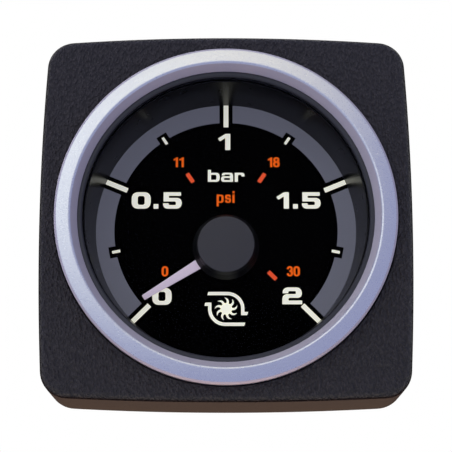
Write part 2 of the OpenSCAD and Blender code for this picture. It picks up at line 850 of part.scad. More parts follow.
module stem_nut() {
    y = case_d + lock_t;
    color("#b9bcc0") placed() difference() {
        translate([0, y, 0]) rotate([-90, 0, 0]) cylinder(h = nut_h, r = nut_af / (2 * cos(30)), $fn = 6);
        bar(0, 0, stem_r, y - over, y + nut_h + over);
    }
}

module clamp_studs() {
    color("#a9adb3") placed() for (s = [-1, 1]) translate([s * stud_pitch / 2, 0, 0]) {
        bar(0, 0, stud_head_r, can_floor - stud_head_t, can_floor);
        bar(0, 0, stud_r, can_floor, case_d + stud_len);
    }
}

module clamp_bracket() {
    w = leg_x + strip_t;
    c = w - bend_r - strip_t;
    half = concat(
        arc(c, bracket_back - bend_r - strip_t, bend_r + strip_t, 90, 0, 6),
        [[w, floor_back], [leg_x, floor_back]],
        arc(c, bracket_back - bend_r - strip_t, bend_r, 0, 90, 6));
    mirrored = [for (i = [len(half) - 1:-1:0]) [-half[i].x, half[i].y]];
    color("#a9adb3") placed() difference() {
        translate([0, 0, -strip_w / 2]) linear_extrude(strip_w) polygon(concat(half, mirrored));
        bar(0, 0, bracket_hole_r, bracket_y - over, bracket_back + over);
        for (s = [-1, 1]) bar(s * stud_pitch / 2, 0, stud_hole_r, bracket_y - over, bracket_back + over);
    }
}

module stud_washers() {
    color("#b9bcc0") placed() for (s = [-1, 1]) translate([s * stud_pitch / 2, 0, 0])
        washer(washer_r, stud_hole_r, bracket_back, bracket_back + washer_t);
}

// Thumb nut with a straight knurl
module knurled_nuts() {
    y = bracket_back + washer_t;
    rim = [for (i = [0:2 * knurl_teeth - 1])
        let (a = 180 * i / knurl_teeth, r = knurl_r - (i % 2) * knurl_d)
        [r * cos(a), r * sin(a)]];
    color("#c8a85a") placed() for (s = [-1, 1]) translate([s * stud_pitch / 2, 0, 0]) difference() {
        slab(y, knurl_h) polygon(rim);
        bar(0, 0, stud_r, y - over, y + knurl_h + over);
    }
}

module lamp_holders() {
    nose = case_d - can_wall - nose_len;
    tail = case_d + holder_len;
    color("#1b1b1d") placed() for (s = [-1, 1]) translate([s * lamp_x, 0, lamp_z]) difference() {
        union() {
            bar(0, 0, nose_r, nose, case_d);
            bar(0, 0, holder_flange_r, case_d, case_d + holder_flange_t);
            bar(0, 0, holder_r, case_d + holder_flange_t, tail);
            slab(case_d + holder_flange_t, holder_len - holder_flange_t)
                square([2 * wing_r, wing_w], center = true);
        }
        bar(0, 0, bulb_r, nose - over, nose + bulb_seat);
    }
}

module bulbs() {
    back = case_d - can_wall - nose_len + bulb_seat;
    tip = back - bulb_seat - bulb_len + bulb_r;
    color("#e8e4d2", 0.5) placed() for (s = [-1, 1]) translate([s * lamp_x, 0, lamp_z]) difference() {
        union() {
            bar(0, 0, bulb_r, tip, back);
            translate([0, tip, 0]) sphere(bulb_r);
        }
        bar(0, 0, bulb_r - bulb_wall, tip, back - bulb_seat);
        translate([0, tip, 0]) sphere(bulb_r - bulb_wall);
    }
}

module lamp_blades() {
    y = case_d + holder_len;
    color("#c8a85a") placed() for (s = [-1, 1], t = [-1, 1])
        translate([s * lamp_x + t * blade_pitch / 2 - blade_t / 2, y, lamp_z - blade_w / 2])
        cube([blade_t, blade_len, blade_w]);
}

module earth_tab() {
    color("#c8a85a") placed() difference() {
        union() {
            translate([-tab_w / 2, case_d, tab_z - tab_foot / 2]) cube([tab_w, blade_t, tab_foot]);
            translate([-tab_w / 2, case_d, tab_z - tab_foot / 2 - blade_t])
                cube([tab_w, blade_len, blade_t]);
        }
        bar(0, tab_z, tab_hole_r, case_d - over, case_d + blade_t + over);
    }
}

module earth_rivet() {
    color("#b9bcc0") placed() {
        bar(0, tab_z, tab_hole_r, can_floor, case_d + blade_t);
        bar(0, tab_z, rivet_head_r, can_floor - rivet_head_t, can_floor);
        bar(0, tab_z, rivet_head_r, case_d + blade_t, case_d + blade_t + rivet_head_t);
    }
}

surround();
bezel_ring();
lens_gasket();
lens();
flange_seal();
panel_gasket();
shroud();
dial_plate();
pointer();
hub_cap();
pointer_shaft();
pinion();
hairspring_collet();
hairspring();
hairspring_stud();
sector_gear();
sector_arbor();
tail_pin();
link();
tip_pin();
tube_tip();
bourdon_tube();
pressure_socket();
restrictor();
front_plate();
rear_plate();
pillars();
pillar_screws();
plate_screws();
pivot_bushes();
light_sleeve();
case_can();
stem_seal();
stem_lockwasher();
stem_nut();
clamp_studs();
clamp_bracket();
stud_washers();
knurled_nuts();
lamp_holders();
bulbs();
lamp_blades();
earth_tab();
earth_rivet();
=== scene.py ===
import math

import bmesh
import bpy
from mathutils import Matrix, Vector
from mathutils.geometry import tessellate_polygon


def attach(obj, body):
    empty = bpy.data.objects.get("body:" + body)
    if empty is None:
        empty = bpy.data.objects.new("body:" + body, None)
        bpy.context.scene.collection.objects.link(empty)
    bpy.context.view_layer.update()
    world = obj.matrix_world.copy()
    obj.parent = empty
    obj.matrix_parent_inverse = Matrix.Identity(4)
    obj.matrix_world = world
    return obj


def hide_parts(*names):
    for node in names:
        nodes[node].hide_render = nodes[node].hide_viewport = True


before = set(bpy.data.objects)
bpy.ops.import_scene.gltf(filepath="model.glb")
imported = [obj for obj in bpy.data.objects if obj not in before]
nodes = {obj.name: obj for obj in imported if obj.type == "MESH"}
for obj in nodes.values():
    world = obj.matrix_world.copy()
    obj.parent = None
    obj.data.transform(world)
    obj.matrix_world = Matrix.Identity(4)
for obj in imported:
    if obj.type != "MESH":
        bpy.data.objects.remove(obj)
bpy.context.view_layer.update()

# Studio: the camera looks up at the gauge from below, before a white backdrop. Two soft lamps stand high in
# front, a small one stands near on the upper left, and a warm one lies under the gauge.
scene = bpy.context.scene
scene.view_settings.view_transform = "Standard"
mm = 0.001


def tint(code):
    """Linear colour of an sRGB hex code."""
    shares = [int(code[i:i + 2], 16) / 255 for i in (1, 3, 5)]
    return [c / 12.92 if c <= 0.04045 else ((c + 0.055) / 1.055) ** 2.4 for c in shares] + [1]


def add(tree, kind, inputs=None, **settings):
    """Adds a node with its settings. Each input takes a value, or a link from another node's socket."""
    node = tree.nodes.new(kind)
    for name, value in settings.items():
        setattr(node, name, value)
    for name, value in (inputs or {}).items():
        if isinstance(value, bpy.types.NodeSocket):
            tree.links.new(value, node.inputs[name])
        else:
            node.inputs[name].default_value = value
    return node


def blend(tree, share, first, second):
    """Mixes two colours, given as sRGB hex codes, by a share."""
    mix = add(tree, "ShaderNodeMix", {"Factor": share}, data_type="RGBA")
    mix.inputs["A"].default_value, mix.inputs["B"].default_value = tint(first), tint(second)
    return mix


def lamp(name, place, size, power, colour, mirrored=True):
    """Square soft lamp that faces the gauge. One that isn't mirrored gives no highlight."""
    light = bpy.data.lights.new(name, "AREA")
    light.size, light.energy, light.color = size, power, tint(colour)[:3]
    stand = bpy.data.objects.new(name, light)
    scene.collection.objects.link(stand)
    stand.location = place
    stand.rotation_euler = Vector(place).to_track_quat("Z", "Y").to_euler()
    stand.visible_camera, stand.visible_glossy = False, mirrored


camera = bpy.data.objects.new("camera", bpy.data.cameras.new("camera"))
scene.collection.objects.link(camera)
camera.data.sensor_width, camera.data.lens = 36, 119.25
camera.location = (0, -272.55 * mm, -58.98 * mm)
camera.rotation_euler = (math.radians(102.547), 0, 0)
scene.camera = camera

lamp("key", (-0.55, -0.95, 0.42), 0.9, 2.5, "#F7FBE2")
lamp("top", (0.05, -0.75, 0.72), 0.6, 1.05, "#FFF4B0")
lamp("under", (0.0, 0.06, -0.38), 0.35, 1.65, "#FFDCC0", False)
lamp("near", (-0.17, -0.16, 0.17), 0.08, 0.22, "#F4F4FF", False)

world = bpy.data.worlds.new("studio")
scene.world = world
world.use_nodes = True
room = world.node_tree
ray = add(room, "ShaderNodeLightPath")
sight = add(room, "ShaderNodeMath", {0: ray.outputs["Is Camera Ray"], 1: ray.outputs["Is Transmission Ray"]},
            operation="MAXIMUM")
walls = blend(room, sight.outputs[0], "#AEB4DA", "#FFFFFF")
room.links.new(walls.outputs["Result"], room.nodes["Background"].inputs["Color"])


def screen(name, corners, colour):
    """Flat sheet of the studio that reads as white paper behind the gauge, in its metal and in its glass."""
    mesh = bpy.data.meshes.new(name)
    mesh.from_pydata(corners, [], [(0, 1, 2, 3)])
    sheet = bpy.data.objects.new(name, mesh)
    scene.collection.objects.link(sheet)
    paper = bpy.data.materials.new(name)
    paper.use_nodes = True
    tree = paper.node_tree
    tree.nodes.clear()
    ray = add(tree, "ShaderNodeLightPath")
    seen = add(tree, "ShaderNodeMath", {0: ray.outputs["Is Camera Ray"], 1: ray.outputs["Is Glossy Ray"]},
               operation="MAXIMUM")
    seen = add(tree, "ShaderNodeMath", {0: seen.outputs[0], 1: ray.outputs["Is Transmission Ray"]},
               operation="MAXIMUM")
    matt = add(tree, "ShaderNodeBsdfDiffuse", {"Color": tint(colour)})
    white = add(tree, "ShaderNodeEmission", {"Color": (1, 1, 1, 1), "Strength": 1.0})
    both = add(tree, "ShaderNodeMixShader", {0: seen.outputs[0], 1: matt.outputs[0], 2: white.outputs[0]})
    add(tree, "ShaderNodeOutputMaterial", {"Surface": both.outputs[0]})
    mesh.materials.append(paper)


screen("backdrop", [(-1.5, 0.7, -0.4), (1.5, 0.7, -0.4), (1.5, 0.7, 1.5), (-1.5, 0.7, 1.5)], "#E8E8E8")
screen("floor", [(-1.5, -0.15, -0.4), (1.5, -0.15, -0.4), (1.5, 0.7, -0.4), (-1.5, 0.7, -0.4)], "#A88468")


# Surround: a square shell of black ABS, moulded with a fine leather grain. Its sides bow outward, its front
# is slightly domed, and four bosses behind the corners take the screws that come through the dash.
surround_depth = 17.3
half_width, side_bow, corner_radius, edge_radius, draft = 32.8, 1.05, 4.8, 1.2, math.radians(1)
recess_radius, recess_depth, floor_back, hole_radius = 30.25, 4.0, 6.0, 26.4
recess_edge, recess_break, foot_round, overrun = 0.15, 0.04, 0.2, 1
shell_wall, collar_radius, dome_radius, dome_rim = 2.4, 32.05, 600.0, 30.0
boss_place, boss_radius, pilot_radius, pilot_depth = 27.0, 3.2, 1.3, 12.0
face_steps, edge_steps = 5, 10
weld = 0.0005 * mm


def arc(x, z, radius, start, end, steps):
    """Points on an arc, with its angles in degrees from the right-hand horizontal."""
    turns = [math.radians(start + (end - start) * i / steps) for i in range(steps + 1)]
    return [(x + radius * math.cos(a), z + radius * math.sin(a)) for a in turns]


def outline(grow, side_steps=28, corner_steps=14):
    """The surround seen from the front: four bowed sides that run into round corners, grown by a margin."""
    side_radius = (half_width ** 2 + side_bow ** 2) / (2 * side_bow)
    side_centre = half_width - side_radius
    corner = (side_centre + math.sqrt(2 * (side_radius - corner_radius) ** 2 - side_centre ** 2)) / 2
    reach = math.degrees(math.atan2(corner, corner - side_centre))
    side = arc(side_centre, 0, side_radius + grow, -reach, reach, side_steps)
    side += arc(corner, corner, corner_radius + grow, reach, 90 - reach, corner_steps)[1:-1]
    points = []
    for quarter in range(4):
        c, s = ((1, 0), (0, 1), (-1, 0), (0, -1))[quarter]
        points += [(x * c - z * s, x * s + z * c) for x, z in side]
    return points


def dome(x, z):
    """Depth of the slightly domed front at a point, zero at the bezel ring."""
    return (x * x + z * z - dome_rim ** 2) / (2 * dome_radius)


def make(name, points, faces):
    """Mesh object from points (x, depth, z) in millimetres, with its faces turned outward."""
    mesh = bpy.data.meshes.new(name)
    mesh.from_pydata([(x * mm, (depth - surround_depth) * mm, z * mm) for x, depth, z in points], [], faces)
    shape = bmesh.new()
    shape.from_mesh(mesh)
    bmesh.ops.remove_doubles(shape, verts=shape.verts, dist=weld)
    bmesh.ops.recalc_face_normals(shape, faces=shape.faces)
    shape.to_mesh(mesh)
    shape.free()
    piece = bpy.data.objects.new(name, mesh)
    scene.collection.objects.link(piece)
    return piece


def loft(name, rings, closed):
    """Solid through rings of points. It closes on itself, or has a flat cap at each end."""
    count, last = len(rings[0]), len(rings)
    faces = []
    for i in range(last if closed else last - 1):
        a, b = i * count, (i + 1) % last * count
        faces += [(a + j, a + (j + 1) % count, b + (j + 1) % count, b + j) for j in range(count)]
    if not closed:
        faces += [tuple(range(count)), tuple(range((last - 1) * count, last * count))]
    return make(name, [p for ring in rings for p in ring], faces)


def bar(name, x, z, radius, front, back, steps=64):
    """Round bar along the depth, between two depths."""
    ends = arc(x, z, radius, 0, 360, steps)[:-1]
    return loft(name, [[(px, depth, pz) for px, pz in ends] for depth in (front, back)], False)


def settle(piece):
    """Turns what the modifiers make into the piece's own plain mesh."""
    bpy.context.view_layer.update()
    mesh = bpy.data.meshes.new_from_object(piece.evaluated_get(bpy.context.evaluated_depsgraph_get()))
    piece.modifiers.clear()
    piece.data = mesh
    return piece


def carve(piece, *tools):
    """Cuts the tools out of a piece."""
    for tool in tools:
        cut = piece.modifiers.new(tool.name, "BOOLEAN")
        cut.operation, cut.solver, cut.object = "DIFFERENCE", "EXACT", tool
    settle(piece)
    for tool in tools:
        bpy.data.objects.remove(tool)


def finish(name, colour, **sockets):
    """Starts a material from its base colour and the sockets of its shader that are the same all over."""
    material = bpy.data.materials.new(name)
    material.use_nodes = True
    tree = material.node_tree
    shader = tree.nodes["Principled BSDF"]
    shader.inputs["Base Color"].default_value = tint(colour)
    labels = {"metallic": "Metallic", "roughness": "Roughness", "specular": "Specular IOR Level",
              "emission": "Emission Strength"}
    for socket, value in sockets.items():
        shader.inputs[labels[socket]].default_value = value
    return material, tree, shader


def speckle(tree, place, size, detail, **inputs):
    """Noise whose spots have a given size in millimetres."""
    return add(tree, "ShaderNodeTexNoise", {"Vector": place, "Scale": 1 / (size * mm), "Detail": detail,
                                            **inputs})


def emboss(tree, shader, height, depth, strength=1.0):
    """Raises and sinks a surface by a pattern, over a depth in millimetres."""
    relief = add(tree, "ShaderNodeBump", {"Height": height, "Distance": depth * mm, "Strength": strength})
    tree.links.new(relief.outputs[0], shader.inputs["Normal"])
    return relief


def fit(piece, material, body, slot, *replaced):
    """Gives a finished piece its material, smooth faces between sharp edges, and its place on a body."""
    sharp = 32
    piece.data.materials.clear()
    piece.data.materials.append(material)
    piece.data.shade_smooth()
    piece.data.set_sharp_from_angle(angle=math.radians(sharp))
    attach(piece, body)
    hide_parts(*replaced)


def ring_of(points, depth):
    """Points of a loop at one depth, or at a depth that depends on the point."""
    return [(x, depth(x, z) if callable(depth) else depth, z) for x, z in points]


def circle_like(points, radius):
    """Circle with one point in the direction of each point of a loop."""
    return [(x * radius / math.hypot(x, z), z * radius / math.hypot(x, z)) for x, z in points]


rim = outline(0)
brow = outline(-edge_radius)
mouth = circle_like(rim, recess_radius + recess_edge)
rings = [ring_of(circle_like(rim, hole_radius), surround_depth),
         ring_of(circle_like(rim, hole_radius), recess_depth),
         ring_of(circle_like(rim, recess_radius), recess_depth),
         ring_of(circle_like(rim, recess_radius), recess_edge),
         ring_of(circle_like(rim, recess_radius + recess_break), recess_break)]
for i in range(face_steps):
    share = i / face_steps
    face = [(a[0] + (b[0] - a[0]) * share, a[1] + (b[1] - a[1]) * share) for a, b in zip(mouth, brow)]
    rings.append(ring_of(face, dome))
for i in range(edge_steps + 1):
    angle = math.radians(90 * i / edge_steps)
    edge = outline(-edge_radius * (1 - math.sin(angle)))
    rings.append([(x, edge_radius * (1 - math.cos(angle)) + dome(x, z), z) for x, z in edge])
foot = (surround_depth - edge_radius) * math.tan(draft)
rings += [ring_of(outline(foot * 0.5), surround_depth * 0.5),
          ring_of(outline(foot), surround_depth - foot_round),
          ring_of(outline(foot - foot_round * 0.3), surround_depth - foot_round * 0.3),
          ring_of(outline(foot - foot_round), surround_depth)]
surround = loft("surround_shell", rings, True)
inside = outline(-shell_wall)
hollow = loft("hollow", [ring_of(inside, depth) for depth in (shell_wall, surround_depth + overrun)], False)
carve(hollow, bar("collar", 0, 0, collar_radius, 0, floor_back, 128),
      *[bar("boss", x, z, boss_radius, 0, surround_depth)
        for x in (-boss_place, boss_place) for z in (-boss_place, boss_place)])
pilots = [bar("pilot", x, z, pilot_radius, surround_depth - pilot_depth, surround_depth + overrun, 32)
          for x in (-boss_place, boss_place) for z in (-boss_place, boss_place)]
carve(surround, hollow, *pilots)

# Moulded ABS with a leather grain: slanted wrinkles about 0.3 mm apart, with painted shade in their valleys
# and painted light on their crowns, that break the reflection of the lamps into a soft sheen
wrinkle_size, pebble_size, grain_depth = 0.3, 0.43, 0.9
leather, tree, shader = finish("grained ABS", "#26252B", roughness=0.42, specular=0.5)
place = add(tree, "ShaderNodeTexCoord").outputs["Object"]
slant = add(tree, "ShaderNodeMapping", {"Vector": place, "Rotation": (0, math.radians(34), 0),
                                        "Scale": (1.0, 1.0, 0.62)})
wrinkle = speckle(tree, slant.outputs[0], wrinkle_size, 2.0, Roughness=0.55, Distortion=0.7)
pebble = add(tree, "ShaderNodeTexVoronoi", {"Vector": slant.outputs[0], "Scale": 1 / (pebble_size * mm),
                                            "Smoothness": 0.5}, feature="SMOOTH_F1")
height = add(tree, "ShaderNodeMath", {0: wrinkle.outputs["Fac"], 1: pebble.outputs["Distance"]},
             operation="SUBTRACT")
painted_grain_shade = add(tree, "ShaderNodeMapRange", {"Value": height.outputs[0], "From Min": -0.15, "From Max": 0.35})
shade = blend(tree, painted_grain_shade.outputs[0], "#211D1D", "#373232")
gloss = add(tree, "ShaderNodeMapRange", {"Value": height.outputs[0], "From Min": -0.5, "From Max": 0.7,
                                         "To Min": 0.46, "To Max": 0.28})
relief = emboss(tree, shader, height.outputs[0], grain_depth)
# The drafted walls have no grain: they are smooth and matt, and painted a little lighter and warmer than the
# front, as painted warm light from under the gauge that adds to the warm lamp's own. The gloss ends earlier,
# where the edge starts to bend back. Both are told by the depth below the domed front
depth = add(tree, "ShaderNodeSeparateXYZ", {"Vector": place})
flat = add(tree, "ShaderNodeVectorMath", {0: place, 1: (1, 0, 1)}, operation="MULTIPLY")
reach = add(tree, "ShaderNodeVectorMath", {0: flat.outputs[0], 1: flat.outputs[0]}, operation="DOT_PRODUCT")
below = add(tree, "ShaderNodeMath", {0: reach.outputs["Value"], 1: -1 / (2 * dome_radius * mm),
                                     2: depth.outputs["Y"]}, operation="MULTIPLY_ADD")
front = dome(0, 0) - surround_depth
wall_share = add(tree, "ShaderNodeMapRange", {"Value": below.outputs[0],
                                              "From Min": (front + edge_radius * 0.85) * mm,
                                              "From Max": (front + edge_radius * 1.05) * mm})
bend_share = add(tree, "ShaderNodeMapRange", {"Value": below.outputs[0],
                                              "From Min": (front + edge_radius * 0.1) * mm,
                                              "From Max": (front + edge_radius * 0.45) * mm})
warm = add(tree, "ShaderNodeMix", {"Factor": wall_share.outputs[0], "A": shade.outputs["Result"]},
           data_type="RGBA")
warm.inputs["B"].default_value = tint("#49443F")
gleam = add(tree, "ShaderNodeMapRange", {"Value": bend_share.outputs[0], "To Min": 0.5, "To Max": 0.0})
bumps = add(tree, "ShaderNodeMapRange", {"Value": wall_share.outputs[0], "To Min": 1.0, "To Max": 0.1})
tree.links.new(bumps.outputs[0], relief.inputs["Strength"])
tree.links.new(gleam.outputs[0], shader.inputs["Specular IOR Level"])
tree.links.new(warm.outputs["Result"], shader.inputs["Base Color"])
tree.links.new(gloss.outputs[0], shader.inputs["Roughness"])
fit(surround, leather, "case", "grained_abs", "surround")


# Bezel ring: pressed brass sheet with a satin plated finish, bright on the narrow crest between its flat face
# and the slope down to the glass. Its rear edge is rolled in behind the flange of the case.
def rounded(corners, steps=6):
    """Outline through corners (x, z, radius), each rounded to its radius."""
    points = []
    for i, (x, z, radius) in enumerate(corners):
        here = Vector((x, z))
        if radius == 0:
            points.append((x, z))
            continue
        before, after = Vector(corners[i - 1][:2]) - here, Vector(corners[(i + 1) % len(corners)][:2]) - here
        half = before.angle(after) / 2
        reach = min(radius / math.tan(half), before.length * 0.999, after.length * 0.999)
        start, end = here + before.normalized() * reach, here + after.normalized() * reach
        middle = here + (before.normalized() + after.normalized()).normalized() * reach / math.cos(half)
        first, last = start - middle, end - middle
        turn = math.atan2(first.x * last.y - first.y * last.x, first.dot(last))
        for k in range(steps + 1):
            a = turn * k / steps
            points.append((middle.x + first.x * math.cos(a) - first.y * math.sin(a),
                           middle.y + first.x * math.sin(a) + first.y * math.cos(a)))
    return points


def turned(name, profile, around=(0, 0), steps=240):
    """Solid turned about an axis along the depth, from a profile of (radius, depth)."""
    spots = arc(0, 0, 1, 0, 360, steps)[:-1]
    rings = [[(around[0] + r * x, depth, around[1] + r * z) for x, z in spots] for r, depth in profile]
    return loft(name, rings, True)


ring_radius, crest_radius, eye_radius = 30.0, 27.2, 26.05
crest_rise, shoulder_rise, eye_rise = 2.05, 1.6, 0.29
sheet, lip_back, lip_width, chamfer = 0.45, 3.45, 1.5, 0.38
rolled_round, corner_round, chamfer_round = 0.35, 0.12, 0.25
crest_round, eye_round, edge_round = 0.55, 0.12, 0.08
inner_radius = ring_radius - sheet
lip_radius = inner_radius - lip_width
crest_thickness = sheet * 1.78
bezel = turned("bezel", rounded([
    (ring_radius, lip_back, rolled_round), (ring_radius, chamfer - shoulder_rise, corner_round),
    (ring_radius - chamfer, -shoulder_rise, chamfer_round), (crest_radius, -crest_rise, crest_round),
    (eye_radius, -eye_rise, eye_round), (eye_radius, 0, edge_round), (eye_radius + sheet, 0, 0),
    (crest_radius + sheet / 2, -crest_rise + crest_thickness, 0),
    (inner_radius - chamfer, -shoulder_rise + sheet, 0),
    (inner_radius, -shoulder_rise + sheet + chamfer, 0), (inner_radius, lip_back - sheet, 0),
    (lip_radius, lip_back - sheet, 0), (lip_radius, lip_back, 0)]), steps=320)

# Satin plating over a blasted surface: a metal with a fine sparkle, drawn 0.24 mm coarse so that it shows
satin, tree, shader = finish("satin plating", "#CFD0D6", metallic=1, roughness=0.3)
place = add(tree, "ShaderNodeTexCoord").outputs["Object"]
spark = speckle(tree, place, 0.24, 3.0, Roughness=0.7)
haze = add(tree, "ShaderNodeMapRange", {"Value": spark.outputs["Fac"], "From Min": 0.3, "From Max": 0.7,
                                        "To Min": 0.25, "To Max": 0.36})
emboss(tree, shader, spark.outputs["Fac"], 0.045)
# The slope inside the crest and the outer chamfer keep the coarser finish of the press tool, and scatter
# light. The first begins just inside the crest, the second just outside the chamfer's inner edge
crest_share, chamfer_share = 0.14, 0.02
flat = add(tree, "ShaderNodeVectorMath", {0: place, 1: (1, 0, 1)}, operation="MULTIPLY")
radius = add(tree, "ShaderNodeVectorMath", {0: flat.outputs[0]}, operation="LENGTH")
slope = add(tree, "ShaderNodeMath", {0: radius.outputs["Value"], 1: (crest_radius - crest_share) * mm},
            operation="LESS_THAN")
corner = add(tree, "ShaderNodeMath", {0: radius.outputs["Value"],
                                      1: (ring_radius - chamfer + chamfer_share) * mm},
             operation="GREATER_THAN")
slope = add(tree, "ShaderNodeMath", {0: slope.outputs[0], 1: corner.outputs[0]}, operation="MAXIMUM")
scatter = add(tree, "ShaderNodeMapRange", {"Value": slope.outputs[0], "To Min": 1.0, "To Max": 0.3})
coarse = add(tree, "ShaderNodeMath", {0: slope.outputs[0], 1: 0.25, 2: haze.outputs[0]},
             operation="MULTIPLY_ADD")
# The slope and the outer chamfer are painted a mauve grey: a painted warm reflection from under the gauge
plated = blend(tree, slope.outputs[0], "#CFD0D6", "#BAB3BA")
tree.links.new(scatter.outputs[0], shader.inputs["Metallic"])
tree.links.new(plated.outputs["Result"], shader.inputs["Base Color"])
tree.links.new(coarse.outputs[0], shader.inputs["Roughness"])
fit(bezel, satin, "case", "satin_ring", "bezel_ring")


# Glass and its gasket: a flat clear disc with a thin coating against glare, held in a black rubber ring whose
# bevelled inner edge shows between the bezel and the glass.
lens_front, lens_back, sight_radius, seat_radius, gasket_radius = 0.5, 2.0, 25.2, 28.4, 29.45
gasket = turned("glass_gasket", rounded([
    (sight_radius, lens_front, 0), (sight_radius, lens_front / 2, 0.1),
    (sight_radius + lens_front / 2, 0, 0.12), (gasket_radius, 0, 0), (gasket_radius, lens_back, 0),
    (seat_radius, lens_back, 0), (seat_radius, lens_front, 0)]))

# Moulded rubber, matt and a little mottled with bloom, so that it reads as a soft dark band next to the metal
rubber, tree, shader = finish("black rubber", "#26262A", roughness=0.5, specular=0.5)
place = add(tree, "ShaderNodeTexCoord").outputs["Object"]
bloom = speckle(tree, place, 0.5, 4.0)
shade = blend(tree, bloom.outputs["Fac"], "#212125", "#2D2D32")
emboss(tree, shader, bloom.outputs["Fac"], 0.01)
tree.links.new(shade.outputs["Result"], shader.inputs["Base Color"])
fit(gasket, rubber, "case", "black_rubber", "lens_gasket")


def dress(material, *names):
    """Gives CAD nodes, whose shape is right as it is, their material."""
    for name in names:
        nodes[name].data.materials.clear()
        nodes[name].data.materials.append(material)


# Coated float glass: the coating leaves only a trace of gloss, a little stronger where it is seen edge-on
glass, tree, shader = finish("coated glass", "#020202", roughness=0.03, specular=0.25)
facing = add(tree, "ShaderNodeLayerWeight", {"Blend": 0.35})
veil = add(tree, "ShaderNodeMapRange", {"Value": facing.outputs["Fresnel"], "To Min": 0.02, "To Max": 0.35})
tree.links.new(veil.outputs[0], shader.inputs["Alpha"])
dress(glass, "lens")
dress(rubber, "flange_seal", "panel_gasket")


# Shroud: a cone of black ABS with a semi-gloss inside, which leads from the glass down to the edge of the
# dial and mirrors the scale's marks faintly. Its rim is rounded.
dial_depth, dial_radius, dial_sight, rim_radius, rim_front = 13.45, 25.3, 23.9, 24.95, 2.3
rim_round = (dial_radius - rim_radius) / 2
shroud = turned("dial_shroud", [(dial_sight, dial_depth)]
                + arc(dial_radius - rim_round, rim_front + rim_round, rim_round, 180, 360, 14)
                + [(dial_radius, dial_depth)])
cone, tree, shader = finish("semi-gloss black ABS", "#0B0B0D", roughness=0.28, specular=0.2)
place = add(tree, "ShaderNodeTexCoord").outputs["Object"]
flow = speckle(tree, place, 2.5, 3.0)
gloss = add(tree, "ShaderNodeMapRange", {"Value": flow.outputs["Fac"], "To Min": 0.24, "To Max": 0.34})
emboss(tree, shader, flow.outputs["Fac"], 0.01)
tree.links.new(gloss.outputs[0], shader.inputs["Roughness"])
fit(shroud, cone, "case", "black_shroud", "shroud")

# Dial: a thin plastic disc, held between the shroud's foot and the white sleeve. The marks are printed on
# it as thick layers of ink. Its ground is sprayed dead matt, so that it swallows the light and the marks
# stand out.
black, tree, shader = finish("matt black ground", "#010101", roughness=0.9, specular=0.0)
place = add(tree, "ShaderNodeTexCoord").outputs["Object"]
grit = speckle(tree, place, 0.2, 2.0)
shade = blend(tree, grit.outputs["Fac"], "#000000", "#030303")
tree.links.new(shade.outputs["Result"], shader.inputs["Base Color"])
dress(black, "dial_plate")


# Scale band: a grey-blue band over 270 degrees, with a gap for each long tick and a notch for each short one.
# Like all the marks it is screen-printed on the dial.
def ink(name, colour, painted_glow):
    """Screen ink: nearly flat, with the faint mottle of its mesh. It glows in its own colour, as painted
    light.
    """
    material, tree, shader = finish(name, colour, roughness=0.55, specular=0.2, emission=painted_glow)
    place = add(tree, "ShaderNodeTexCoord").outputs["Object"]
    mottle = speckle(tree, place, 0.35, 2.0)
    weight = add(tree, "ShaderNodeMapRange", {"Value": mottle.outputs["Fac"], "To Min": 0.93, "To Max": 1.0})
    shade = blend(tree, weight.outputs[0], "#000000", colour)
    tree.links.new(shade.outputs["Result"], shader.inputs["Base Color"])
    shader.inputs["Emission Color"].default_value = tint(colour)
    return material


def plate(name, shapes, front, back):
    """Flat piece between two depths. Each shape is a list of loops of (x, z): its outline, then its holes."""
    points, faces = [], []
    for loops in shapes:
        start, count = len(points), sum(len(loop) for loop in loops)
        flat = [(x, z) for loop in loops for x, z in loop]
        points += [(x, front, z) for x, z in flat] + [(x, back, z) for x, z in flat]
        for a, b, c in tessellate_polygon([[Vector((x, z, 0)) for x, z in loop] for loop in loops]):
            faces += [(start + a, start + b, start + c),
                      (start + count + a, start + count + c, start + count + b)]
        for loop in loops:
            size = len(loop)
            faces += [(start + j, start + (j + 1) % size, start + count + (j + 1) % size, start + count + j)
                      for j in range(size)]
            start += size
    return make(name, points, faces)


def edge_angle(radius, offset):
    """Angle in degrees at which a circle meets a straight edge beside a radius."""
    return math.degrees(math.asin(offset / radius))


band_inner, band_outer, long_gap, notch_half, notch_depth = 20.51, 23.89, 1.225, 1.05, 1.3
ink_thickness = 0.03
ink_front = dial_depth - ink_thickness
tick_step = 67.5
parts = []
for i in range(4):
    first, last = -45 + tick_step * i, -45 + tick_step * (i + 1)
    middle = (first + last) / 2
    outer = arc(0, 0, band_outer, first + edge_angle(band_outer, long_gap),
                last - edge_angle(band_outer, long_gap), 60)
    notch_top = band_inner + notch_depth
    side_low, side_high = edge_angle(band_inner, notch_half), edge_angle(notch_top, notch_half)
    inner = arc(0, 0, band_inner, last - edge_angle(band_inner, long_gap), middle + side_low, 30)
    inner += arc(0, 0, notch_top, middle + side_high, middle - side_high, 6)
    inner += arc(0, 0, band_inner, middle - side_low, first + edge_angle(band_inner, long_gap), 30)
    parts.append([outer + inner])
band = plate("scale_band", parts, ink_front, dial_depth)
fit(band, ink("grey-blue ink", "#5B5C66", 0.65), "case", "printed_dial")


